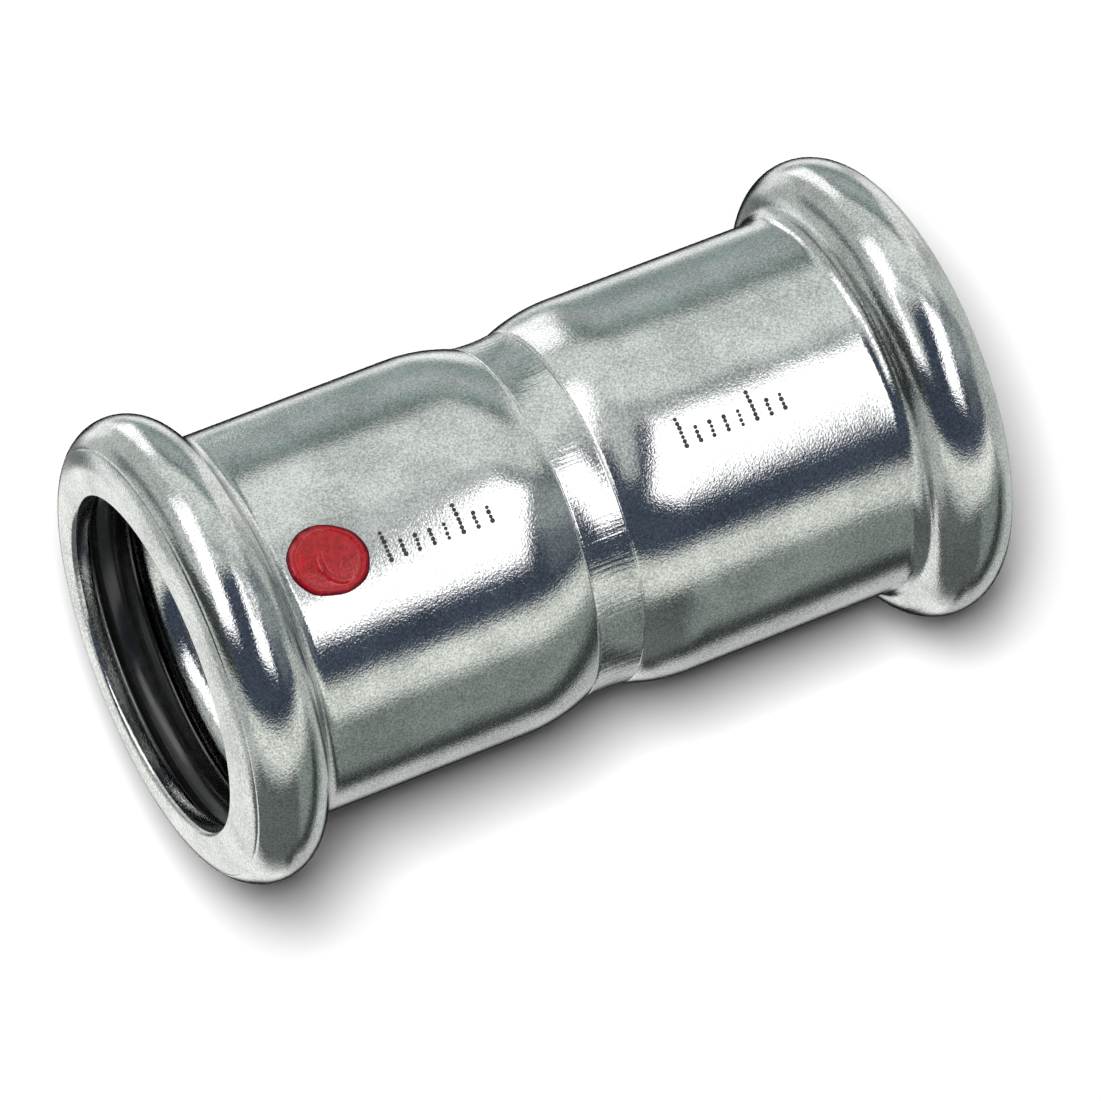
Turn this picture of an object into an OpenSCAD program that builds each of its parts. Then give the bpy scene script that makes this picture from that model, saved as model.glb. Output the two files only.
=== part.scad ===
// Straight press-fit coupling for thin-walled steel pipe.
// One length of tube is rolled into two sockets. Each mouth carries a hollow bead that holds a
// seal ring, and the tube is drawn in at mid-length to stop the pipes.
// The coupling stands on its lower mouth: +Z runs along the bore, and the origin is at the
// centre of the lower end face. All sizes are in millimetres.

/* [Pipe] */
// Outside diameter of the pipe that plugs into each socket
pipe_d = 22; // [15:0.5:42]
// Gap all round between the pipe and the socket wall
pipe_clearance = 0.15; // [0.1:0.05:0.4]

/* [Body] */
// Length of the coupling from one end face to the other
body_length = 54.4; // [46:0.2:90]
// Thickness of the formed tube wall
wall = 1.5; // [1:0.1:2]

/* [Press bead] */
// Gap all round between the seal ring and the chamber inside the bead
seal_clearance = 0.05; // [0.05:0.05:0.2]
// Radius of the hollow where the back of the bead runs into the socket
root_fillet = 1.2; // [0.5:0.1:2]
// Radius that breaks the two edges of the mouth's lip
lip_round = 0.4; // [0.2:0.05:0.5]

/* [Seal ring] */
// Thickness of the ring's round section
seal_section = 2.9; // [2.4:0.1:4]
// Gap all round between the pipe and the ring before pressing
seal_pipe_gap = 0.05; // [0.05:0.05:0.1]

/* [Pipe stop] */
// Depth to which the middle of the tube is drawn in
stop_depth = 0.8; // [0.5:0.05:1.2]
// Length of the straight belt between the two shoulders
stop_belt = 3.2; // [2:0.1:6]
// Length of each rounded shoulder beside the belt
stop_shoulder = 4.2; // [2.5:0.1:6]

/* [Marking dot] */
// Width of the oval spot of red lacquer
dot_width = 4.5; // [3:0.1:6]
// Length that the oval has beyond its width
dot_stretch = 0.7; // [0.1:0.1:2]
// Angle between the oval's long side and the coupling's axis
dot_turn = 20; // [0:1:90]
// Gap along the tube between the upper bead's root and the spot
dot_gap = 0.1; // [0:0.1:3]
// Thickness of the lacquer at its edge
dot_film = 0.12; // [0.05:0.01:0.3]
// Extra thickness of the lacquer inside its rim
dot_crown = 0.1; // [0.05:0.01:0.3]
// Width of the thin rim round the spot
dot_rim = 0.45; // [0.2:0.05:0.8]

/* [Hidden] */
$fn = 128;

// Length by which a cutting shape runs past the face that it opens
overcut = 1;

// Socket tube
socket_r = pipe_d / 2 + pipe_clearance;
tube_r = socket_r + wall;

// Seal ring and the bead that wraps round it: ring, chamber and bead are concentric
seal_r = seal_section / 2;
seal_centre_r = pipe_d / 2 + seal_pipe_gap + seal_r;
chamber_r = seal_r + seal_clearance;
bead_r = chamber_r + wall;
bead_z = bead_r;

// The root fillet touches both the bead's back and the tube, which fixes its centre
root_r = tube_r + root_fillet;
root_z = bead_z + sqrt(pow(bead_r + root_fillet, 2) - pow(root_r - seal_centre_r, 2));

// Pipe stop: one arc leads from the tube to the crease at the belt's edge
belt_r = tube_r - stop_depth;
crease_z = (body_length - stop_belt) / 2;
shoulder_z = crease_z - stop_shoulder;
shoulder_arc = (pow(stop_shoulder, 2) + pow(stop_depth, 2)) / (2 * stop_depth);
shoulder_centre_r = tube_r - shoulder_arc;

// Inside the stop, a shallow barrel crosses the shoulders' inner arcs one wall below the belt.
// It falls away from its crown by half the stop's depth over the length of belt and shoulder.
mid_z = body_length / 2;
bore_arc = shoulder_arc - wall;
crown_r = belt_r - wall;
barrel_half = mid_z - shoulder_z;
barrel_arc = pow(barrel_half, 2) / stop_depth + stop_depth / 4;

// The spot's long side leans, so its reach along the axis is shorter than its length
dot_reach = (dot_width + dot_stretch * cos(dot_turn)) / 2;
dot_z = body_length - root_z - dot_gap - dot_reach;

module disc_at(centre_r, centre_z, radius) {
    translate([centre_r, centre_z]) circle(r = radius);
}

// Rectangle from the axis out to a radius, between two heights that its neighbours share
module band(radius, from_z, to_z) {
    polygon([[0, from_z], [radius, from_z], [radius, to_z], [0, to_z]]);
}

// Both halves of the coupling from a section of its lower half
module both_ends() {
    children();
    translate([0, body_length]) mirror([0, 1]) children();
}

// Everything inside the outer skin, from the end face to the crease at the belt's edge
module outer_half() {
    band(seal_centre_r, 0, bead_z);
    disc_at(seal_centre_r, bead_z, bead_r);
    difference() {
        polygon([
            [0, bead_z], [seal_centre_r, bead_z], [root_r, root_z], [0, root_z]
        ]);
        disc_at(root_r, root_z, root_fillet);
    }
    band(tube_r, root_z, shoulder_z);
    intersection() {
        disc_at(shoulder_centre_r, shoulder_z, shoulder_arc);
        band(tube_r, shoulder_z, crease_z);
    }
}

// Everything inside the belt, carried on under both sockets so that it joins the two halves
module belt_core() {
    band(belt_r, bead_z, body_length - bead_z);
}

// Rounds the lip's front edge, which looks out of the mouth
module lip_break() {
    difference() {
        band(socket_r + lip_round, -overcut, lip_round);
        disc_at(socket_r + lip_round, lip_round, lip_round);
    }
}

// Everything inside the inner skin, one wall thickness in from the outer skin
module inner_half() {
    lip_break();
    translate([0, wall]) mirror([0, 1]) lip_break();
    band(socket_r, -overcut, wall);
    band(seal_centre_r, wall, bead_z);
    disc_at(seal_centre_r, bead_z, chamber_r);
    difference() {
        polygon([
            [0, bead_z], [seal_centre_r, bead_z], [root_r, root_z], [0, root_z]
        ]);
        disc_at(root_r, root_z, root_fillet + wall);
    }
    band(socket_r, root_z, shoulder_z);
    intersection() {
        disc_at(shoulder_centre_r, shoulder_z, bore_arc);
        band(socket_r, shoulder_z, mid_z);
    }
}

// The room inside the stop, narrowest at mid-length
module stop_bore() {
    difference() {
        band(socket_r, shoulder_z, body_length - shoulder_z);
        disc_at(crown_r + barrel_arc, mid_z, barrel_arc);
    }
}

module coupling_body() {
    color("silver")
        rotate_extrude()
            difference() {
                union() {
                    both_ends() outer_half();
                    belt_core();
                }
                both_ends() inner_half();
                stop_bore();
            }
}

module seal_ring(height) {
    color("#1c1c1e")
        rotate_extrude()
            disc_at(seal_centre_r, height, seal_r);
}

module upper_seal_ring() {
    seal_ring(body_length - bead_z);
}

module lower_seal_ring() {
    seal_ring(bead_z);
}

// Oval with round ends, its long side along the second axis
module oval(width, stretch) {
    for (side = [-1, 1])
        translate([0, side * stretch / 2]) circle(d = width);
    square([width, stretch], center = true);
}

// Film on the socket's outside, cut to an oval that faces -Y
module lacquer_film(width, thickness) {
    intersection() {
        difference() {
            cylinder(r = tube_r + thickness, h = body_length);
            translate([0, 0, -overcut]) cylinder(r = tube_r, h = body_length + 2 * overcut);
        }
        translate([0, 0, dot_z])
            rotate([90, 0, 0])
                linear_extrude(height = tube_r + thickness + overcut)
                    rotate(-dot_turn) oval(width, dot_stretch);
    }
}

module marking_dot() {
    color("crimson") {
        lacquer_film(dot_width, dot_film);
        lacquer_film(dot_width - 2 * dot_rim, dot_film + dot_crown);
    }
}

coupling_body();
upper_seal_ring();
lower_seal_ring();
marking_dot();
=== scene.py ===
"""Looks of a straight press-fit pipe coupling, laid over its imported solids.

The coupling stands on its lower mouth. +Z runs along the bore, and the red marking dot faces -Y.
Lengths are in metres, and angles in degrees unless a name says otherwise.
"""

import logging
import math
from dataclasses import dataclass
from enum import Enum

import bpy
import numpy as np
from mathutils import Matrix, Vector

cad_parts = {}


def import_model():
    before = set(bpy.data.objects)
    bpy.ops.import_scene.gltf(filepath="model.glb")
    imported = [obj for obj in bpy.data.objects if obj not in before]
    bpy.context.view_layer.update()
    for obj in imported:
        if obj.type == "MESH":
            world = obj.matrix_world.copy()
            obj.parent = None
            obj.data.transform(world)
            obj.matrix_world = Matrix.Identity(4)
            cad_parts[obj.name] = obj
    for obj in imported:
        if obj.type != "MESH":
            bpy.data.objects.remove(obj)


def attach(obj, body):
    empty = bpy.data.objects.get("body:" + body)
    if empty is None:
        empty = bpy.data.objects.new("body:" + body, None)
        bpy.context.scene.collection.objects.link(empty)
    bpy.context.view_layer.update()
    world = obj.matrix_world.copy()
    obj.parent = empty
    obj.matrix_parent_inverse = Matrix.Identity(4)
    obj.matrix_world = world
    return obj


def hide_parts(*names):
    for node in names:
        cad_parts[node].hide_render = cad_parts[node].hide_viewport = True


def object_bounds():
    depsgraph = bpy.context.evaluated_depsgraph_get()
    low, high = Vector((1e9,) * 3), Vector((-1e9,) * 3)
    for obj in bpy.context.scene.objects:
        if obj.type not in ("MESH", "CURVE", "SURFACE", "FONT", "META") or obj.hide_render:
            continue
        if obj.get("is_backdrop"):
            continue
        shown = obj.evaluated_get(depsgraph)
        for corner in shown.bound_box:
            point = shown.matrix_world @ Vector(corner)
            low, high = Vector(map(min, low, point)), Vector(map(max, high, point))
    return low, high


LOG = logging.getLogger("coupling")
MM = 0.001

Array = np.ndarray
Pair = tuple[float, float]
Triple = tuple[float, float, float]
Colour = Triple
Socket = bpy.types.NodeSocket


class Slot(Enum):
    """Material slots of the record, by name."""

    STEEL = "zinc_plated_steel"
    RUBBER = "black_rubber"
    LACQUER = "red_lacquer"


# Surfaces


def arc(centre: Pair, radius: float, start: float, stop: float, count: int) -> Array:
    """Points along a circular arc: the centre plus the radius times cosine and sine of even angles.

    Args:
        centre: Radius and height of the arc's centre.
        radius: Radius of the arc.
        start: First angle, in radians from the outward direction towards +Z.
        stop: Last angle, in radians.
        count: How many points to place.

    Returns:
        Array of shape (count, 2) of radius and height.
    """
    angle = np.linspace(start, stop, count)
    return np.column_stack((centre[0] + radius * np.cos(angle), centre[1] + radius * np.sin(angle)))


def straight(start: Pair, stop: Pair, count: int) -> Array:
    """Points evenly along a straight line, both ends left out.

    Args:
        start: Radius and height where the line begins.
        stop: Radius and height where it ends.
        count: How many points to place between them.

    Returns:
        Array of shape (count, 2).
    """
    share = np.linspace(0.0, 1.0, count + 2)[1:-1, None]
    return np.asarray(start) + share * (np.asarray(stop) - np.asarray(start))


def grid_faces(rows: int, columns: int, row_wrap: bool, column_wrap: bool) -> Array:
    """Quads between neighbouring points of a grid whose index is row times columns plus column.

    Args:
        rows: Number of grid rows.
        columns: Number of grid columns.
        row_wrap: Whether the last row joins the first.
        column_wrap: Whether the last column joins the first.

    Returns:
        Integer array of shape (faces, 4).
    """
    row = np.arange(rows if row_wrap else rows - 1)[:, None]
    column = np.arange(columns if column_wrap else columns - 1)[None, :]
    next_row = (row + 1) % rows
    next_column = (column + 1) % columns
    corners = (
        row * columns + column,
        row * columns + next_column,
        next_row * columns + next_column,
        next_row * columns + column,
    )
    return np.stack(np.broadcast_arrays(*corners), axis=-1).reshape(-1, 4)


def revolve(section: Array, steps: int) -> tuple[Array, Array]:
    """Turns a closed section round the Z axis: a point (r, z) at turn t goes to (r cos t, r sin t, z).

    Args:
        section: Closed loop of radius and height, shape (points, 2), run so that its left is outside.
        steps: Number of even turns that make the full circle.

    Returns:
        Vertices of shape (points * steps, 3) and quads of shape (points * steps, 4).
    """
    turn = np.arange(steps) * (2.0 * np.pi / steps)
    radius, height = section[:, :1], section[:, 1:]
    vertices = np.stack(
        np.broadcast_arrays(radius * np.cos(turn), radius * np.sin(turn), height), axis=-1
    )
    return vertices.reshape(-1, 3), grid_faces(len(section), steps, True, True)


def wrap_on_tube(across: Array, along: Array, radius: Array) -> Array:
    """Lays a flat drawing on a tube: arc length over radius gives the turn from the -Y side.

    Args:
        across: Distance round the tube from the -Y side towards +X, measured on the tube's skin.
        along: Height on the tube.
        radius: Distance from the axis, skin plus film.

    Returns:
        Points of shape (..., 3).
    """
    turn = across / CouplingBody.tube_r - 0.5 * np.pi
    return np.stack(np.broadcast_arrays(radius * np.cos(turn), radius * np.sin(turn), along), axis=-1)


def make_piece(
    name: str, vertices: Array, faces: Array | list[list[int]], material: bpy.types.Material
) -> bpy.types.Object:
    """Puts arrays into a smooth-shaded mesh object at the origin.

    Args:
        name: Name of the object and of its mesh.
        vertices: Points of shape (n, 3).
        faces: Vertex indices of each face, three or four to a face.
        material: Finish of the whole piece.

    Returns:
        The new object, linked into the scene.
    """
    mesh = bpy.data.meshes.new(name)
    mesh.from_pydata(vertices.tolist(), [], faces.tolist() if isinstance(faces, Array) else faces)
    mesh.polygons.foreach_set("use_smooth", np.ones(len(faces), dtype=bool))
    mesh.materials.append(material)
    mesh.update()
    piece = bpy.data.objects.new(name, mesh)
    bpy.context.scene.collection.objects.link(piece)
    return piece


# Node trees


class Tree:
    """A node tree with short ways to add nodes and to set or link their inputs."""

    def __init__(self, tree: bpy.types.NodeTree) -> None:
        """Empties the tree and keeps hold of it.

        Args:
            tree: Tree of a material or of the world.
        """
        self.nodes = tree.nodes
        self.links = tree.links
        self.nodes.clear()

    def add(
        self, kind: str, inputs: dict[str | int, object] | None = None, **settings: object
    ) -> bpy.types.Node:
        """Adds a node, sets its properties, and sets or links its inputs.

        Args:
            kind: Blender's class name of the node.
            inputs: Input name or number, and a number, a colour or another node's socket.
            **settings: Properties of the node, by name.

        Returns:
            The new node.
        """
        node = self.nodes.new(kind)
        for name, value in settings.items():
            setattr(node, name, value)
        for key, value in (inputs or {}).items():
            self.set(node, key, value)
        return node

    def set(self, node: bpy.types.Node, key: str | int, value: object) -> None:
        """Links another node's socket to an input, or sets the input to a plain value.

        Args:
            node: The node whose input is meant.
            key: Name or number of the input.
            value: A socket to link, or a number or colour to set.
        """
        if isinstance(value, Socket):
            self.links.new(value, node.inputs[key])
        else:
            node.inputs[key].default_value = value

    def math(self, operation: str, first: Socket | float, second: Socket | float = 0.0) -> Socket:
        """Gives the result of one arithmetic step."""
        return self.add("ShaderNodeMath", {0: first, 1: second}, operation=operation).outputs[0]

    def place(self, stretch: Triple = (1.0, 1.0, 1.0)) -> Socket:
        """Gives the piece's own coordinates, scaled along each axis."""
        own = self.add("ShaderNodeTexCoord").outputs["Object"]
        return self.add("ShaderNodeMapping", {"Vector": own, "Scale": stretch}).outputs[0]

    def noise(self, place: Socket, size: float, detail: float = 2.0, rough: float = 0.5) -> Socket:
        """Gives a noise from 0 to 1 whose grains are about the given size across."""
        inputs = {"Vector": place, "Scale": 1.0 / size, "Detail": detail, "Roughness": rough}
        return self.add("ShaderNodeTexNoise", inputs).outputs["Fac"]

    def spread(self, value: Socket, low: float, high: float, to_low: float, to_high: float) -> Socket:
        """Carries one range of a value onto another range, held at both ends."""
        inputs = {0: value, 1: low, 2: high, 3: to_low, 4: to_high}
        return self.add("ShaderNodeMapRange", inputs, clamp=True).outputs[0]

    def blend(self, share: Socket, first: Colour | Socket, second: Colour) -> Socket:
        """Gives a colour between two.

        Args:
            share: Share of the second colour, from 0 to 1.
            first: Colour at share 0, fixed or from another node.
            second: Colour at share 1.

        Returns:
            The socket of the blended colour.
        """
        node = self.add("ShaderNodeMix", {0: share}, data_type="RGBA")
        self.set(node, 6, first if isinstance(first, Socket) else (*first, 1.0))
        self.set(node, 7, (*second, 1.0))
        return node.outputs[2]

    def mixture(self, first: Socket, second: Socket, share: float) -> Socket:
        """Gives a share of one value plus the rest of another."""
        rest = self.math("MULTIPLY", second, 1.0 - share)
        return self.math("ADD", self.math("MULTIPLY", first, share), rest)

    def bump(self, *layers: tuple[Socket, float]) -> Socket:
        """Gives the normal of a relief: the sum of its layers, each height times its depth.

        Args:
            *layers: Heights from 0 to 1, each with its depth in metres.

        Returns:
            The socket of the bumped normal.
        """
        relief = self.math("MULTIPLY", *layers[0])
        for height, depth in layers[1:]:
            terms = {0: height, 1: depth, 2: relief}
            relief = self.add("ShaderNodeMath", terms, operation="MULTIPLY_ADD").outputs[0]
        return self.add("ShaderNodeBump", {"Height": relief, "Distance": 1.0, "Strength": 1.0}).outputs[0]


def new_material(name: str) -> tuple[bpy.types.Material, Tree]:
    """Makes an empty node material.

    Args:
        name: Name of the material.

    Returns:
        The material and its tree.
    """
    material = bpy.data.materials.new(name)
    material.use_nodes = True
    return material, Tree(material.node_tree)


def surface(tree: Tree, inputs: dict[str | int, object]) -> None:
    """Ends a tree in one principled shader.

    Args:
        tree: The material's tree.
        inputs: The shader's inputs, as Tree.add takes them.
    """
    shader = tree.add("ShaderNodeBsdfPrincipled", inputs)
    tree.add("ShaderNodeOutputMaterial", {"Surface": shader.outputs[0]})


# Finishes


@dataclass(frozen=True)
class ZincPlate:
    """Bright zinc plate on rolled steel: a fine grain, faint ripples and a scratched belt."""

    bright: Colour = (0.86, 0.86, 0.86)
    dull: Colour = (0.395, 0.403, 0.403)
    grain: float = 0.14 * MM
    grain_depth: float = 0.012 * MM
    ripple: float = 1.4 * MM
    ripple_depth: float = 0.006 * MM
    draw_line: float = 0.35 * MM
    draw_stretch: Triple = (1.0, 1.0, 0.03)
    draw_depth: float = 0.002 * MM
    scratch_depth: float = 0.030 * MM
    cloud: float = 4.0 * MM
    cloud_share: float = 0.35
    tone_range: Pair = (0.38, 0.62)
    wear_range: Pair = (0.3, 0.7)
    roughness: Pair = (0.04, 0.09)
    belt_z: float = 27.2 * MM
    belt_edge: Pair = (1.568 * MM, 1.632 * MM)

    def build(self) -> bpy.types.Material:
        """Builds the plate from noises on the piece's own coordinates.

        Returns:
            The finished material.
        """
        material, tree = new_material("zinc_plate")
        place = tree.place()
        grain = tree.noise(place, self.grain, detail=2.0, rough=0.6)
        ripple = tree.noise(place, self.ripple, detail=2.0, rough=0.5)
        lines = tree.noise(tree.place(self.draw_stretch), self.draw_line, detail=3.0, rough=0.6)
        cloud = tree.noise(place, self.cloud, detail=4.0, rough=0.6)
        height = tree.add("ShaderNodeSeparateXYZ", {0: place}).outputs[2]
        from_belt = tree.math("ABSOLUTE", tree.math("SUBTRACT", height, self.belt_z))
        on_belt = tree.spread(from_belt, *self.belt_edge, 1.0, 0.0)
        scratches = tree.math("MULTIPLY", lines, on_belt)
        normal = tree.bump(
            (ripple, self.ripple_depth),
            (lines, self.draw_depth),
            (scratches, self.scratch_depth),
            (grain, self.grain_depth),
        )
        wear = tree.mixture(cloud, grain, self.cloud_share)
        tone = tree.spread(wear, *self.tone_range, 0.0, 1.0)
        surface(
            tree,
            {
                "Base Color": tree.blend(tone, self.dull, self.bright),
                "Metallic": 1.0,
                "Roughness": tree.spread(wear, *self.wear_range, *self.roughness),
                "Normal": normal,
            },
        )
        return material


@dataclass(frozen=True)
class SealRubber:
    """Satin black moulded rubber with a fine skin and a trace of dust."""

    black: Colour = (0.005, 0.005, 0.0055)
    dusty: Colour = (0.011, 0.011, 0.0115)
    skin: float = 0.12 * MM
    skin_depth: float = 0.004 * MM
    dust: float = 0.9 * MM
    dust_range: Pair = (0.5, 0.75)
    wear_range: Pair = (0.35, 0.7)
    roughness: Pair = (0.18, 0.3)
    shine: float = 0.8

    def build(self) -> bpy.types.Material:
        """Builds the rubber.

        Returns:
            The finished material.
        """
        material, tree = new_material("seal_rubber")
        place = tree.place()
        skin = tree.noise(place, self.skin, detail=3.0, rough=0.6)
        dust = tree.noise(place, self.dust, detail=5.0, rough=0.7)
        tone = tree.spread(dust, *self.dust_range, 0.0, 1.0)
        surface(
            tree,
            {
                "Base Color": tree.blend(tone, self.black, self.dusty),
                "Roughness": tree.spread(dust, *self.wear_range, *self.roughness),
                "Specular IOR Level": self.shine,
                "Normal": tree.bump((skin, self.skin_depth)),
            },
        )
        return material


@dataclass(frozen=True)
class RedLacquer:
    """Thick red lacquer with a mottled skin, and painted shade that darkens its edge."""

    clear: Colour = (0.42, 0.012, 0.017)
    deep: Colour = (0.24, 0.006, 0.010)
    # edge: colour of the painted shade along the drop's edge
    edge: Colour = (0.085, 0.003, 0.012)
    mottle: float = 0.24 * MM
    mottle_depth: float = 0.022 * MM
    cloud: float = 0.7 * MM
    cloud_share: float = 0.5
    tone_range: Pair = (0.38, 0.62)
    wear_range: Pair = (0.3, 0.7)
    roughness: Pair = (0.08, 0.16)
    rag: float = 0.16
    edge_shade_range: Pair = (0.9, 0.97)
    shine_range: Pair = (0.86, 0.95)
    shine: Pair = (0.55, 0.12)
    layer: str = "way_out"

    def build(self) -> bpy.types.Material:
        """Builds the lacquer. The mesh carries each point's share of the way out to the edge.

        Returns:
            The finished material.
        """
        material, tree = new_material("red_lacquer_drop")
        place = tree.place()
        cloud = tree.noise(place, self.cloud, detail=4.0, rough=0.6)
        mottle = tree.noise(place, self.mottle, detail=2.0, rough=0.5)
        patchy = tree.mixture(cloud, mottle, self.cloud_share)
        skin = tree.blend(tree.spread(patchy, *self.tone_range, 0.0, 1.0), self.clear, self.deep)
        way_out = tree.add("ShaderNodeAttribute", attribute_name=self.layer).outputs["Fac"]
        stray = tree.math("MULTIPLY", tree.math("SUBTRACT", cloud, 0.5), self.rag)
        ragged = tree.math("ADD", way_out, stray)
        # rim: where the painted shade darkens the lacquer towards the drop's edge
        rim = tree.spread(ragged, *self.edge_shade_range, 0.0, 1.0)
        surface(
            tree,
            {
                "Base Color": tree.blend(rim, skin, self.edge),
                "Roughness": tree.spread(cloud, *self.wear_range, *self.roughness),
                "Specular IOR Level": tree.spread(ragged, *self.shine_range, *self.shine),
                "Normal": tree.bump((mottle, self.mottle_depth)),
            },
        )
        return material


@dataclass(frozen=True)
class PrintInk:
    """Thin grey-black printing ink."""

    black: Colour = (0.015, 0.016, 0.018)
    thin: Colour = (0.07, 0.072, 0.075)
    patch: float = 0.25 * MM
    cover_range: Pair = (0.4, 0.75)
    wear_range: Pair = (0.3, 0.7)
    roughness: Pair = (0.5, 0.7)

    def build(self) -> bpy.types.Material:
        """Builds the ink.

        Returns:
            The finished material.
        """
        material, tree = new_material("print_ink")
        cover = tree.noise(tree.place(), self.patch, detail=3.0, rough=0.6)
        tone = tree.spread(cover, *self.cover_range, 0.0, 1.0)
        roughness = tree.spread(cover, *self.wear_range, *self.roughness)
        surface(tree, {"Base Color": tree.blend(tone, self.black, self.thin), "Roughness": roughness})
        return material


@dataclass(frozen=True)
class StudioWhite:
    """White paper that keeps the object's shadow, is clean white further out and clear from behind."""

    middle: Triple
    white: Colour = (0.95, 0.95, 0.95)
    lift: float = 0.035
    shaded_to: float = 40.0 * MM
    white_from: float = 58.0 * MM

    def build(self) -> bpy.types.Material:
        """Builds the paper: a matt white, plus a little light of its own for the camera alone.

        With the distance from its middle it passes into a white that no shadow darkens.

        Returns:
            The finished material.
        """
        material, tree = new_material("studio_white")
        matt = tree.add("ShaderNodeBsdfDiffuse", {"Color": (*self.white, 1.0)})
        seen = tree.add("ShaderNodeLightPath").outputs["Is Camera Ray"]
        glow = tree.add("ShaderNodeEmission", {"Strength": tree.math("MULTIPLY", seen, self.lift)})
        near = tree.add("ShaderNodeAddShader", {0: matt.outputs[0], 1: glow.outputs[0]})
        far = tree.add("ShaderNodeEmission", {"Strength": seen})
        out = tree.add("ShaderNodeVectorMath", {0: tree.place(), 1: self.middle}, operation="DISTANCE")
        share = tree.spread(out.outputs["Value"], self.shaded_to, self.white_from, 0.0, 1.0)
        paper = tree.add("ShaderNodeMixShader", {0: share, 1: near.outputs[0], 2: far.outputs[0]})
        behind = tree.add("ShaderNodeNewGeometry").outputs["Backfacing"]
        clear = tree.add("ShaderNodeBsdfTransparent")
        sheet = tree.add("ShaderNodeMixShader", {0: behind, 1: paper.outputs[0], 2: clear.outputs[0]})
        tree.add("ShaderNodeOutputMaterial", {"Surface": sheet.outputs[0]})
        return material


@dataclass(frozen=True)
class TentCloth:
    """Lit cloth of the reflection tent, as bright as its painted tone."""

    layer: str = "tone"

    def build(self) -> bpy.types.Material:
        """Builds a material that gives off the tone stored on the mesh, but lights no matt surface.

        Returns:
            The finished material.
        """
        material, tree = new_material("tent_cloth")
        tone = tree.add("ShaderNodeAttribute", attribute_name=self.layer).outputs["Color"]
        bounced = tree.add("ShaderNodeLightPath").outputs["Diffuse Depth"]
        mirrored = tree.math("LESS_THAN", bounced, 0.5)
        glow = tree.add("ShaderNodeEmission", {"Color": tone, "Strength": mirrored})
        tree.add("ShaderNodeOutputMaterial", {"Surface": glow.outputs[0]})
        material.cycles.emission_sampling = "NONE"
        return material


# Pieces


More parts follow.
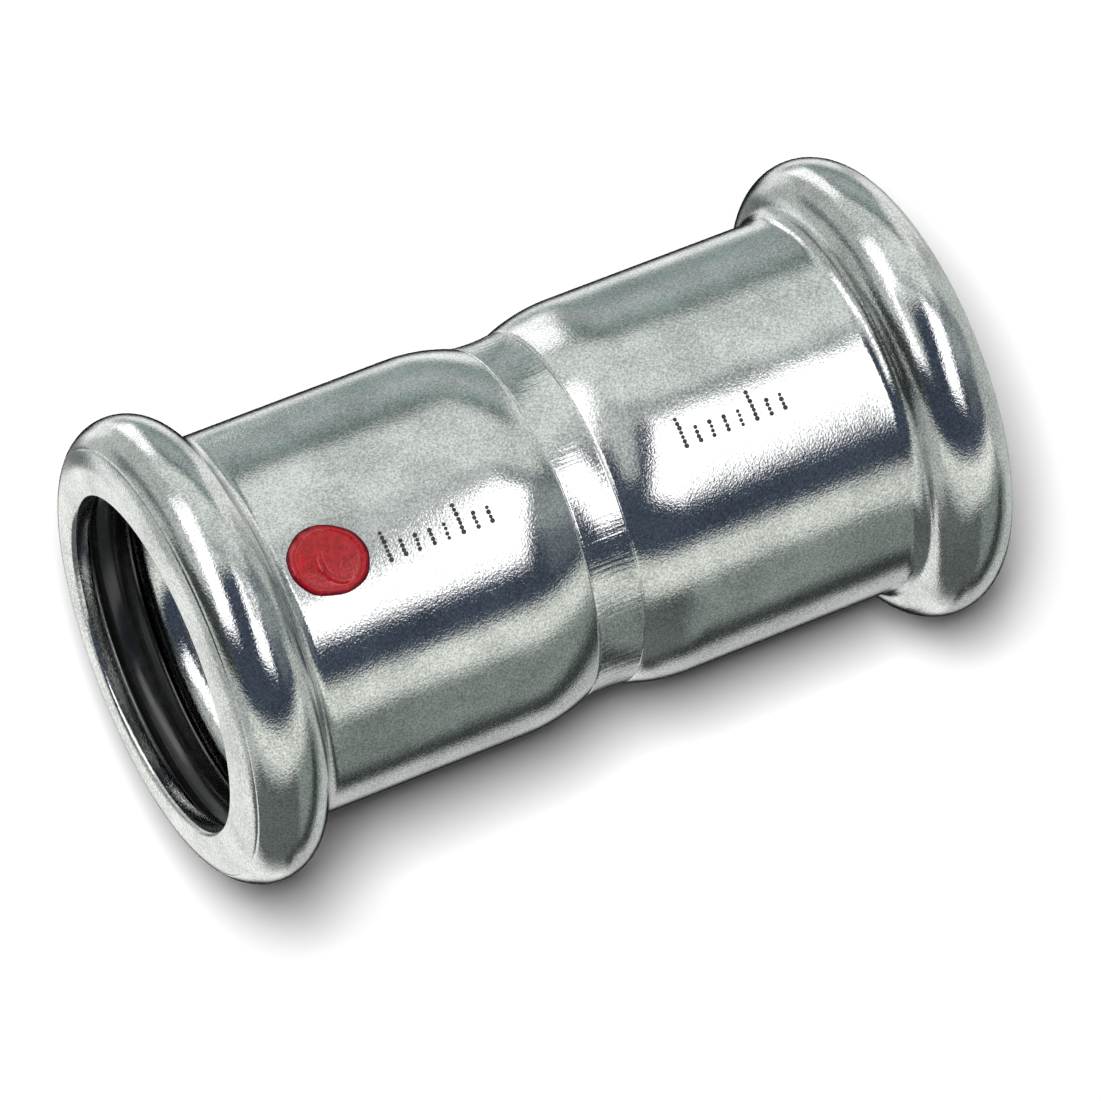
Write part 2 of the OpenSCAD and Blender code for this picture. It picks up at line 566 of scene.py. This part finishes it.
@dataclass
class CouplingBody:
    """The formed tube: lips, hollow beads, sockets and the drawn-in belt, as one turned skin."""

    length: float = 54.4 * MM
    wall: float = 1.5 * MM
    socket_r: float = 11.15 * MM
    tube_r: float = 12.65 * MM
    lip_round: float = 0.4 * MM
    bead_centre_r: float = 12.5 * MM
    bead_r: float = 3.0 * MM
    root_fillet: float = 1.2 * MM
    stop_depth: float = 0.8 * MM
    stop_belt: float = 3.2 * MM
    stop_shoulder: float = 4.2 * MM
    belt_hollow: float = 0.11 * MM
    score_depth: float = 0.035 * MM
    score_half: float = 0.08 * MM
    score_reach: float = 0.24 * MM
    score_points: int = 17
    face_line: float = -55.0
    face_line_depth: float = 0.022 * MM
    steps: int = 240

    def shoulder(self) -> Pair:
        """Gives the height at which the lower shoulder starts, and the radius of its arc."""
        start = (self.length - self.stop_belt) / 2 - self.stop_shoulder
        return start, (self.stop_shoulder**2 + self.stop_depth**2) / (2 * self.stop_depth)

    def root(self) -> Triple:
        """Finds the root fillet's centre, and the angle at which it meets the bead.

        Returns:
            Radius and height of the centre, and the angle in radians seen from the bead's centre.
        """
        root_r = self.tube_r + self.root_fillet
        across = root_r - self.bead_centre_r
        rise = math.sqrt((self.bead_r + self.root_fillet) ** 2 - across**2)
        return root_r, self.bead_r + rise, math.atan2(rise, across)

    def outer_half(self) -> Array:
        """Outer skin of the lower half, from the lip's front edge to just short of mid-length.

        The lip's quarter round, the flat end face, the bead's arc, the root's hollow arc, the
        straight socket and the drawn-in waist.

        Returns:
            Array of radius and height.
        """
        root_r, root_z, meet = self.root()
        lip = self.socket_r + self.lip_round
        shoulder_z, _ = self.shoulder()
        return np.concatenate(
            (
                arc((lip, self.lip_round), self.lip_round, -math.pi, -math.pi / 2, count=9),
                straight((lip, 0.0), (self.bead_centre_r, 0.0), count=2),
                self.bead(meet),
                arc((root_r, root_z), self.root_fillet, meet - math.pi, -math.pi, count=16)[1:],
                straight((self.tube_r, root_z), (self.tube_r, shoulder_z), count=12),
                self.waist(),
            )
        )

    def bead(self, meet: float) -> Array:
        """Outer arc of the lower bead, with a bell-shaped scored line where its face turns to its crown.

        Args:
            meet: Angle in radians at which the arc ends, seen from the bead's centre.

        Returns:
            Array of radius and height.
        """
        line = math.radians(self.face_line)
        reach = self.score_reach / self.bead_r
        angle = np.concatenate(
            (
                np.linspace(-math.pi / 2, line - reach, num=9),
                np.linspace(line - reach, line + reach, num=self.score_points)[1:],
                np.linspace(line + reach, meet, num=34)[1:],
            )
        )
        from_line = (angle - line) * self.bead_r / self.score_half
        radius = self.bead_r - self.face_line_depth * np.exp(-(from_line**2))
        height = self.bead_r + radius * np.sin(angle)
        return np.column_stack((self.bead_centre_r + radius * np.cos(angle), height))

    def waist(self) -> Array:
        """Outer skin from the shoulder's start to just short of mid-length.

        The shoulder falls along an arc to the crease. The belt beyond it is hollow by a parabola.
        The crease itself is a scored line: a bell-shaped groove.

        Returns:
            Array of radius and height.
        """
        shoulder_z, arc_r = self.shoulder()
        mid = self.length / 2
        crease = mid - self.stop_belt / 2
        before, after = crease - self.score_reach, crease + self.score_reach
        height = np.concatenate(
            (
                np.linspace(shoulder_z, before, num=12),
                np.linspace(before, after, num=self.score_points)[1:],
                np.linspace(after, mid, num=6)[1:-1],
            )
        )
        fall = self.tube_r - arc_r + np.sqrt(arc_r**2 - (height - shoulder_z) ** 2)
        from_mid = (height - mid) / (self.stop_belt / 2)
        belt = self.tube_r - self.stop_depth - self.belt_hollow * (1 - from_mid**2)
        score = self.score_depth * np.exp(-(((height - crease) / self.score_half) ** 2))
        return np.column_stack((np.where(height < crease, fall, belt) - score, height))

    def inner_half(self) -> Array:
        """Inner skin of the lower half, from the lip's bore to just short of mid-length.

        The lip's bore and back round, the chamber's arc round the seal, the socket's bore, the
        shoulder's inner arc and the shallow barrel inside the stop.

        Returns:
            Array of radius and height.
        """
        root_r, root_z, meet = self.root()
        bead = (self.bead_centre_r, self.bead_r)
        lip = self.socket_r + self.lip_round
        mid = self.length / 2
        shoulder_z, arc_r = self.shoulder()
        half = mid - shoulder_z
        barrel_r = half**2 / self.stop_depth + self.stop_depth / 4
        crown = self.tube_r - self.stop_depth - self.wall
        height = np.linspace(shoulder_z, mid, num=22)[1:-1]
        inner_arc = self.tube_r - arc_r + np.sqrt((arc_r - self.wall) ** 2 - (height - shoulder_z) ** 2)
        barrel = crown + barrel_r - np.sqrt(barrel_r**2 - (height - mid) ** 2)
        stop = np.column_stack((np.maximum(inner_arc, barrel), height))
        lip_back = self.wall - self.lip_round
        inner_root = self.root_fillet + self.wall
        return np.concatenate(
            (
                straight((self.socket_r, self.lip_round), (self.socket_r, lip_back), count=1),
                arc((lip, lip_back), self.lip_round, math.pi, math.pi / 2, count=7),
                arc(bead, self.bead_r - self.wall, -math.pi / 2, meet, count=26),
                arc((root_r, root_z), inner_root, meet - math.pi, -math.pi, count=14)[1:],
                straight((self.socket_r, root_z), (self.socket_r, shoulder_z), count=10),
                np.array([[self.socket_r, shoulder_z]]),
                stop,
            )
        )

    def section(self) -> Array:
        """Closed section: both outer halves upwards, then both inner halves downwards.

        Returns:
            Array of radius and height, without a repeated first point.
        """
        flip = np.array([1.0, -1.0])
        rise = np.array([0.0, self.length])
        outer, inner = self.outer_half(), self.inner_half()
        return np.concatenate((outer, (outer * flip + rise)[::-1], inner * flip + rise, inner[::-1]))

    def build(self, finish: bpy.types.Material) -> bpy.types.Object:
        """Turns the section and sets the skin in the solid's place.

        Args:
            finish: Material of the plated steel.

        Returns:
            The finished piece.
        """
        vertices, faces = revolve(self.section(), self.steps)
        piece = make_piece("formed_tube", vertices, faces, finish)
        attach(piece, "root")
        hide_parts("coupling_body")
        return piece


@dataclass
class SealRing:
    """One moulded seal ring of round section."""

    node: str
    height: float
    centre_r: float = 12.5 * MM
    section_r: float = 1.45 * MM
    steps: int = 224
    round_steps: int = 48

    def build(self, finish: bpy.types.Material) -> bpy.types.Object:
        """Turns a circle round the axis and sets the ring in its solid's place.

        Args:
            finish: Material of the rubber.

        Returns:
            The finished piece.
        """
        circle = arc((self.centre_r, self.height), self.section_r, 0.0, 2 * math.pi, self.round_steps + 1)
        vertices, faces = revolve(circle[:-1], self.steps)
        piece = make_piece(f"{self.node}_rubber", vertices, faces, finish)
        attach(piece, "root")
        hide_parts(self.node)
        return piece


@dataclass
class MarkingDot:
    """A drop of lacquer on the socket: an oval cap with a low rim and a curved ridge across it."""

    height: float = 44.744 * MM
    width: float = 4.55 * MM
    stretch: float = 0.72 * MM
    end_power: float = 0.35
    waves: tuple[Triple, ...] = ((0.014, 3.0, 0.6), (0.010, 5.0, 0.0), (0.006, 9.0, 1.0))
    lean: float = 20.0
    film: float = 0.12 * MM
    crown: float = 0.05 * MM
    rim: float = 0.07 * MM
    rim_at: float = 0.86
    rim_width: float = 0.045
    edge_from: float = 0.9
    ridge: float = 0.1 * MM
    ridge_r: float = 1.45 * MM
    ridge_width: float = 0.15 * MM
    ridge_centre: Pair = (-0.2 * MM, -0.85 * MM)
    ridge_turn: float = 118.0
    ridge_fade: Pair = (0.25, 0.875)
    sink: float = 0.01 * MM
    rings: int = 44
    edge_rings: int = 9
    steps: int = 176

    def outline(self, turn: Array) -> tuple[Array, Array]:
        """Edge of the drop: an oval with faint waves, leaned over towards the tube's side.

        Each wave is a share of the width times the sine of its count of the turn plus its phase.

        Args:
            turn: Angles round the drop's middle, in radians.

        Returns:
            Distance across and along the tube from the drop's middle.
        """
        depth, count, phase = np.array(self.waves).T[..., None]
        wave = 1 + np.sum(depth * np.sin(count * turn + phase), axis=0)
        side = self.width / 2 * wave * np.cos(turn)
        end = np.sign(np.sin(turn)) * np.abs(np.sin(turn)) ** self.end_power
        up = self.width / 2 * wave * np.sin(turn) + self.stretch / 2 * end
        lean = math.radians(self.lean)
        return side * math.cos(lean) + up * math.sin(lean), up * math.cos(lean) - side * math.sin(lean)

    def thickness(self, share: Array, across: Array, along: Array) -> Array:
        """Thickness of the lacquer: a quarter round at the edge, a low crown, a rim and a ridge.

        The ridge follows part of a circle: it fades with the distance from that circle, and with
        the angle away from the circle's side that carries it.

        Args:
            share: Share of the way out to the edge.
            across: Distance across the tube from the drop's middle.
            along: Distance along the tube from the drop's middle.

        Returns:
            Thickness at each point.
        """
        edge = np.sqrt(1 - np.clip((share - self.edge_from) / (1 - self.edge_from), 0, 1) ** 2)
        rim = np.exp(-(((share - self.rim_at) / self.rim_width) ** 2))
        off_across, off_along = across - self.ridge_centre[0], along - self.ridge_centre[1]
        from_ridge = (np.hypot(off_across, off_along) - self.ridge_r) / self.ridge_width
        carried = np.cos(np.arctan2(off_along, off_across) - math.radians(self.ridge_turn))
        fade_from, fade_to = self.ridge_fade
        ridge = np.exp(-(from_ridge**2)) * np.clip((carried - fade_from) / (fade_to - fade_from), 0, 1)
        return edge * (self.film + self.crown * (1 - share**2) + self.rim * rim + self.ridge * ridge)

    def build(self, finish: bpy.types.Material) -> bpy.types.Object:
        """Builds a closed cap on the tube, ring within ring, with an underside just below the skin.

        Args:
            finish: Material of the lacquer.

        Returns:
            The finished piece.
        """
        turn = np.arange(self.steps) * (2 * np.pi / self.steps)
        inner = np.linspace(0.0, self.edge_from, self.rings)[1:]
        share = np.concatenate((inner, np.linspace(self.edge_from, 1.0, self.edge_rings)[1:]))[:, None]
        across, along = (share * reach for reach in self.outline(turn))
        thick = self.thickness(share, across, along)
        tube_r = CouplingBody.tube_r
        top = wrap_on_tube(across, self.height + along, tube_r + thick)
        under = wrap_on_tube(across, self.height + along, np.full_like(thick, tube_r - self.sink))
        rows = np.concatenate((top, under[::-1]))
        poles = np.stack((rows[0].mean(axis=0), rows[-1].mean(axis=0)))
        vertices = np.concatenate((rows.reshape(-1, 3), poles))
        ring = np.arange(self.steps)
        ahead = (ring + 1) % self.steps
        last = (len(rows) - 1) * self.steps
        pole = np.full(self.steps, len(rows) * self.steps)
        top_cap = np.column_stack((pole, ring, ahead))
        under_cap = np.column_stack((pole + 1, last + ahead, last + ring))
        quads = grid_faces(len(rows), self.steps, False, True)[:, ::-1]
        faces = quads.tolist() + top_cap.tolist() + under_cap.tolist()
        piece = make_piece("lacquer_drop", vertices, faces, finish)
        piece.visible_glossy = False
        way_out = np.broadcast_to(np.concatenate((share, share[::-1])), rows.shape[:2]).ravel()
        layer = piece.data.attributes.new(RedLacquer.layer, "FLOAT", "POINT")
        layer.data.foreach_set("value", np.append(way_out, (0.0, 0.0)))
        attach(piece, "root")
        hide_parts("marking_dot")
        return piece


class Tick(Enum):
    """Marks of the depth scale, by the number of printed dots in each."""

    SHORT = 4
    LONG = 7


@dataclass
class DepthScale:
    """A plain scale of ticks, one to a millimetre, printed on one socket in rows of small ink dots."""

    name: str
    start: float
    ticks: tuple[Tick, ...] = (Tick.LONG, *[Tick.SHORT] * 4, Tick.LONG, *[Tick.SHORT] * 2)
    pitch: float = 1.0 * MM
    foot: float = -1.4 * MM
    dot_pitch: float = 0.3 * MM
    dot_r: float = 0.15 * MM
    shake: float = 0.016 * MM
    size_range: Pair = (0.85, 1.15)
    film: float = 0.006 * MM
    corners: int = 10
    seed: int = 7

    def build(self, finish: bpy.types.Material) -> bpy.types.Object:
        """Lays one small disc on the tube for each printed dot.

        The dots of a tick stand in a row round the tube, and the ticks follow each other along it.
        Each dot is a fan of corners round its middle, a little larger or smaller than its neighbours.

        Args:
            finish: Material of the ink.

        Returns:
            The finished piece.
        """
        counts = np.array([tick.value for tick in self.ticks])
        tick, dot = np.nonzero(np.arange(counts.max()) < counts[:, None])
        scatter = np.random.default_rng(self.seed)
        shake = scatter.normal(0.0, self.shake, (2, len(tick), 1))
        size = self.dot_r * scatter.uniform(*self.size_range, (len(tick), 1))
        turn = np.arange(self.corners) * (2 * np.pi / self.corners)
        middle_across = self.foot + dot[:, None] * self.dot_pitch + shake[0]
        middle_along = self.start - tick[:, None] * self.pitch + shake[1]
        skin = np.asarray(CouplingBody.tube_r + self.film)
        ring = wrap_on_tube(middle_across + size * np.cos(turn), middle_along + size * np.sin(turn), skin)
        hub = wrap_on_tube(middle_across, middle_along, skin)
        fan = np.concatenate((ring, hub), axis=1)
        corner = np.arange(self.corners)
        ahead = (corner + 1) % self.corners
        wedge = np.column_stack((np.full(self.corners, self.corners), corner, ahead))
        faces = (np.arange(len(tick)) * (self.corners + 1))[:, None, None] + wedge
        piece = make_piece(self.name, fan.reshape(-1, 3), faces.reshape(-1, 3), finish)
        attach(piece, "root")
        return piece


# Studio


@dataclass(frozen=True)
class PhotoCamera:
    """The photograph's viewpoint: in front of the red dot and a little above it, rolled to one side.

    The roll lays the standing coupling across the picture, with its upper mouth at the left.
    """

    azimuth: float = -9.292
    elevation: float = 18.095
    roll: float = 111.213
    distance: float = 548.4 * MM
    shift_right: float = -0.975 * MM
    shift_up: float = 2.149 * MM
    lens: float = 282.915
    sensor: float = 36.0
    clip: Pair = (0.01, 20.0)

    def axes(self) -> tuple[Vector, Vector, Vector]:
        """Works out the camera's right, up and forward directions from its angles.

        Returns:
            Three unit vectors.
        """
        angles = (self.azimuth, self.elevation, self.roll)
        azimuth, elevation, roll = (math.radians(angle) for angle in angles)
        level = math.cos(elevation)
        forward = Vector((-math.sin(azimuth) * level, math.cos(azimuth) * level, -math.sin(elevation)))
        flat_right = forward.cross(Vector((0.0, 0.0, 1.0))).normalized()
        flat_up = flat_right.cross(forward)
        right = math.cos(roll) * flat_right - math.sin(roll) * flat_up
        up = math.sin(roll) * flat_right + math.cos(roll) * flat_up
        return right, up, forward

    def build(self, centre: Vector) -> bpy.types.Object:
        """Places the camera so that the object's centre falls where the photograph has it.

        Args:
            centre: Middle of the object.

        Returns:
            The camera, made the scene's own.
        """
        right, up, forward = self.axes()
        data = bpy.data.cameras.new("photo_camera")
        data.lens = self.lens
        data.sensor_width = self.sensor
        data.clip_start, data.clip_end = self.clip
        camera = bpy.data.objects.new("photo_camera", data)
        bpy.context.scene.collection.objects.link(camera)
        spot = centre - self.shift_right * right - self.shift_up * up - self.distance * forward
        turned = Matrix((right, up, -forward)).transposed().to_4x4()
        camera.matrix_world = Matrix.Translation(spot) @ turned
        bpy.context.scene.camera = camera
        return camera


@dataclass(frozen=True)
class Patch:
    """One soft-edged rectangle of tone on the tent, placed by bearing and elevation.

    Bearings run round the coupling from the photograph's upper side, past the camera at 90.
    """

    bearing: float
    elevation: float
    width: float
    height: float
    tone: Colour
    slope: float = 0.0
    shear: float = 0.0
    edge: float = 3.0

    def cover(self, bearing: Array, elevation: Array) -> Array:
        """Share of each point that the patch covers: a smooth step at each of its four sides.

        Args:
            bearing: Bearings of the points.
            elevation: Elevations of the points.

        Returns:
            Values from 0 to 1, with one more axis for the colour.
        """
        above = elevation - self.elevation
        across = (bearing - self.bearing - self.shear * above + 180.0) % 360.0 - 180.0
        lean = math.radians(self.slope)
        along = across * math.cos(lean) + above * math.sin(lean)
        over = above * math.cos(lean) - across * math.sin(lean)
        inside = np.minimum(self.width / 2 - np.abs(along), self.height / 2 - np.abs(over))
        share = np.clip(inside / self.edge + 0.5, 0.0, 1.0)
        return (share * share * (3.0 - 2.0 * share))[..., None]


def hang_cloth(cloth: bpy.types.Object, tone: Array) -> None:
    """Paints a stage piece with one tone to a vertex, and hides it from all but gloss.

    Args:
        cloth: The stage piece.
        tone: Colours of shape (n, 3).
    """
    layer = cloth.data.attributes.new(TentCloth.layer, "FLOAT_COLOR", "POINT")
    layer.data.foreach_set("color", np.insert(tone, 3, 1.0, axis=1).ravel())
    cloth.visible_camera = False
    cloth.visible_diffuse = False
    cloth.visible_shadow = False
    cloth.visible_transmission = False
    cloth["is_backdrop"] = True


@dataclass
class FlagCard:
    """A small grey card hung near the upper socket, whose slanting edge cuts the mirrored lamp off.

    Its corners are given where the camera sees them mirrored: the angle round the tube from the
    photograph's upper side, and the distance from the upper mouth.
    """

    corners: tuple[Pair, ...] = ((70.0, 5.0), (91.0, 5.0), (90.0, 11.5), (76.0, 21.0), (70.0, 21.0))
    reach: float = 45.0 * MM
    tone: Colour = (0.66, 0.70, 0.68)

    def build(self, camera: PhotoCamera, spot: Vector, finish: bpy.types.Material) -> bpy.types.Object:
        """Hangs the card: from each mirrored place, one reach along the mirrored line of sight.

        Args:
            camera: The photograph's viewpoint.
            spot: Where the camera is.
            finish: Material of the cloth.

        Returns:
            The card, marked as stage.
        """
        angle, drop = np.array(self.corners).T
        turn = np.radians(camera.azimuth - angle)
        out = np.column_stack((np.cos(turn), np.sin(turn), np.zeros_like(turn)))
        skin = CouplingBody.tube_r * out
        skin[:, 2] = CouplingBody.length - drop * MM
        sight = np.asarray(spot) - skin
        sight /= np.linalg.norm(sight, axis=1, keepdims=True)
        mirrored = 2 * np.sum(sight * out, axis=1, keepdims=True) * out - sight
        card = make_piece("flag_card", skin + self.reach * mirrored, [list(range(len(angle)))], finish)
        hang_cloth(card, np.tile(self.tone, (len(angle), 1)))
        return card


@dataclass
class ReflectionTent:
    """A round tent of lit and dark cloth that only gloss can see, as the plated skin mirrors it."""

    radius: float = 0.6
    centre_z: float = 27.2 * MM
    zero_bearing: float = -9.292
    bearing_step: float = 1.5
    top: float = 89.5
    rows: int = 120
    ground: Colour = (0.58, 0.62, 0.59)
    patches: tuple[Patch, ...] = (
        Patch(57.0, 73.0, 146.0, 22.0, (0.06, 0.07, 0.065)),
        Patch(-10.0, 46.0, 74.0, 12.0, (0.24, 0.27, 0.26), 29.0),
        Patch(-72.0, 35.0, 24.0, 26.0, (1.0, 1.04, 1.02), edge=6.0),
        Patch(80.0, -66.0, 70.0, 32.0, (0.30, 0.34, 0.34), edge=9.0),
        Patch(-20.0, -50.0, 90.0, 22.0, (1.0, 1.01, 0.99), shear=-0.3),
        Patch(-60.0, -12.0, 30.0, 44.0, (1.05, 1.08, 1.07)),
        Patch(36.0, -18.0, 64.0, 64.0, (0.84, 0.89, 0.84), shear=-0.3),
        Patch(-17.0, -26.0, 55.0, 36.0, (0.37, 0.45, 0.43), shear=-0.8),
        Patch(-17.0, -26.0, 16.0, 36.0, (0.47, 0.52, 0.51), shear=-0.8),
        Patch(-42.0, -26.0, 8.0, 36.0, (0.29, 0.36, 0.345), shear=-0.8),
        Patch(5.0, -26.0, 8.0, 36.0, (0.21, 0.26, 0.245), shear=-0.8),
        Patch(100.0, 0.0, 76.0, 124.0, (0.07, 0.09, 0.125)),
        Patch(86.0, -48.0, 36.0, 30.0, (0.36, 0.40, 0.40), edge=9.0),
        Patch(112.0, -48.0, 24.0, 30.0, (0.17, 0.20, 0.22), edge=9.0),
        Patch(56.0, -18.0, 8.0, 50.0, (0.40, 0.45, 0.45), shear=-0.3),
        Patch(151.0, 0.0, 22.0, 120.0, (0.92, 0.96, 0.89)),
        Patch(189.0, -35.0, 56.0, 54.0, (0.29, 0.335, 0.31)),
        Patch(201.0, 22.0, 62.0, 64.0, (0.15, 0.17, 0.165), shear=0.3),
        Patch(205.0, -28.0, 68.0, 17.0, (0.06, 0.07, 0.065), 52.0),
        Patch(259.0, 25.0, 52.0, 76.0, (1.02, 1.04, 1.0)),
        Patch(233.0, -20.0, 22.0, 24.0, (0.62, 0.63, 0.63)),
        Patch(261.0, -17.0, 24.0, 34.0, (0.015, 0.017, 0.02)),
        Patch(-81.0, -17.0, 30.0, 32.0, (0.015, 0.017, 0.017)),
        Patch(-74.0, 12.0, 12.0, 24.0, (0.20, 0.22, 0.22)),
        Patch(54.0, 32.0, 74.0, 26.0, (1.9, 1.9, 1.9), 24.0),
        Patch(-28.0, -3.0, 40.0, 13.0, (1.6, 1.62, 1.6), 14.0),
        Patch(87.5, -17.0, 47.0, 23.0, (2.3, 2.3, 2.3), 24.0),
    )

    def build(self, finish: bpy.types.Material) -> bpy.types.Object:
        """Pitches the tent: a sphere of even bearings and elevations, painted patch after patch.

        Args:
            finish: Material of the cloth.

        Returns:
            The tent, marked as stage.
        """
        round_tent = np.arange(0.0, 360.0, self.bearing_step)
        bearing, elevation = np.meshgrid(round_tent, np.linspace(-self.top, self.top, self.rows))
        turn, tilt = np.radians(self.zero_bearing - bearing), np.radians(elevation)
        level = self.radius * np.cos(tilt)
        height = self.centre_z + self.radius * np.sin(tilt)
        points = np.stack((level * np.cos(turn), level * np.sin(turn), height), axis=-1)
        tone = np.broadcast_to(np.asarray(self.ground), points.shape)
        for patch in self.patches:
            cover = patch.cover(bearing, elevation)
            tone = tone * (1.0 - cover) + cover * np.asarray(patch.tone)
        faces = grid_faces(*bearing.shape, False, True)
        tent = make_piece("reflection_tent", points.reshape(-1, 3), faces, finish)
        hang_cloth(tent, tone.reshape(-1, 3))
        return tent


@dataclass
class Studio:
    """White floor, soft lamps, white surroundings and the reflection tent.

    The photograph shows the coupling lying down, and its frame stands it on end. So the floor is
    upright here: a white sheet that leans back close behind the coupling and takes its shadow.
    """

    floor_gap: float = 20.2 * MM
    floor_lean: float = 9.0
    floor_half: float = 0.15
    aim: Triple = (0.0, 0.0, 27.2 * MM)
    front_turn: float = 7.4
    front_distance: float = 0.72
    front_size: Pair = (0.165, 0.15)
    front_power: float = 6.0
    top_spot: Triple = (0.0, 0.30, 0.85)
    top_size: Pair = (0.5, 0.5)
    top_power: float = 8.0
    soft_fill: float = 0.02

    def floor(self, camera: PhotoCamera) -> None:
        """Sets the floor behind the coupling, unseen by gloss and bounced light, as stage.

        Args:
            camera: The photograph's viewpoint, which the floor faces.
        """
        azimuth, lean = math.radians(camera.azimuth), math.radians(self.floor_lean)
        level = np.array([-math.sin(azimuth), math.cos(azimuth), 0.0])
        upright = np.array([0.0, 0.0, 1.0])
        side = self.floor_half * np.array([math.cos(azimuth), math.sin(azimuth), 0.0])
        rise = self.floor_half * (math.cos(lean) * upright + math.sin(lean) * level)
        back = math.cos(lean) * level - math.sin(lean) * upright
        middle = np.asarray(self.aim) + self.floor_gap * back
        corners = middle + np.array([-side - rise, side - rise, side + rise, rise - side])
        paper = StudioWhite(tuple(middle)).build()
        floor = make_piece("studio_floor", corners, [[0, 1, 2, 3]], paper)
        floor.visible_glossy = False
        floor.visible_diffuse = False
        floor.visible_shadow = False
        floor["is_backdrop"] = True

    def lamp(self, name: str, spot: Vector, size: Pair, power: float) -> None:
        """Hangs one soft lamp that looks at the coupling's middle and that gloss doesn't see.

        Args:
            name: Name of the lamp.
            spot: Where it hangs.
            size: Its two sides.
            power: Its power in watts.
        """
        data = bpy.data.lights.new(name, "AREA")
        data.shape = "RECTANGLE"
        data.size, data.size_y = size
        data.energy = power
        lamp = bpy.data.objects.new(name, data)
        bpy.context.scene.collection.objects.link(lamp)
        lamp.location = spot
        lamp.rotation_mode = "QUATERNION"
        lamp.rotation_quaternion = (Vector(self.aim) - spot).to_track_quat("-Z", "Y")
        lamp.visible_glossy = False

    def lamps(self, camera: PhotoCamera) -> None:
        """Hangs one lamp beside the camera, at its elevation, and one above and behind.

        Args:
            camera: The photograph's viewpoint.
        """
        bearing, rise = math.radians(camera.azimuth + self.front_turn), math.radians(camera.elevation)
        toward = Vector((math.sin(bearing), -math.cos(bearing), math.tan(rise))).normalized()
        front_spot = Vector(self.aim) + self.front_distance * toward
        self.lamp("front_softbox", front_spot, self.front_size, self.front_power)
        self.lamp("top_softbox", Vector(self.top_spot), self.top_size, self.top_power)

    def surroundings(self) -> None:
        """Makes the world white to the camera, gloss and glass, and a faint even light to the rest."""
        world = bpy.data.worlds.new("white_studio")
        bpy.context.scene.world = world
        world.use_nodes = True
        tree = Tree(world.node_tree)
        path = tree.add("ShaderNodeLightPath").outputs
        seen = tree.math("MAXIMUM", path["Is Camera Ray"], path["Is Glossy Ray"])
        seen = tree.math("MAXIMUM", seen, path["Is Transmission Ray"])
        strength = tree.spread(seen, 0.0, 1.0, self.soft_fill, 1.0)
        sky = tree.add("ShaderNodeBackground", {"Color": (1.0, 1.0, 1.0, 1.0), "Strength": strength})
        tree.add("ShaderNodeOutputWorld", {"Surface": sky.outputs[0]})

    def build(self, camera: PhotoCamera, spot: Vector) -> None:
        """Builds floor, tent, card, lamps and world, and sets the plain view transform.

        Args:
            camera: The photograph's viewpoint.
            spot: Where the camera is.
        """
        self.floor(camera)
        cloth = TentCloth().build()
        ReflectionTent().build(cloth)
        FlagCard().build(camera, spot, cloth)
        self.lamps(camera)
        self.surroundings()
        bpy.context.scene.view_settings.view_transform = "Standard"


def main() -> None:
    """Loads the frame, builds each piece in order, and sets up the studio."""
    logging.basicConfig(level=logging.INFO, format="%(name)s: %(message)s")
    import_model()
    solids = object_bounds()
    camera = PhotoCamera()
    spot = camera.build((solids[0] + solids[1]) / 2).matrix_world.translation
    body = CouplingBody()
    plate, rubber, ink = ZincPlate().build(), SealRubber().build(), PrintInk().build()
    pieces = [
        body.build(plate),
        SealRing("upper_seal_ring", height=body.length - body.bead_r).build(rubber),
        SealRing("lower_seal_ring", height=body.bead_r).build(rubber),
        MarkingDot().build(RedLacquer().build()),
        DepthScale("depth_scale_upper", start=41.0 * MM).build(ink),
        DepthScale("depth_scale_lower", start=20.4 * MM).build(ink),
    ]
    Studio().build(camera, spot)
    for piece in pieces:
        LOG.info("%s: %d faces", piece.name, len(piece.data.polygons))


if __name__ == "__main__":
    main()
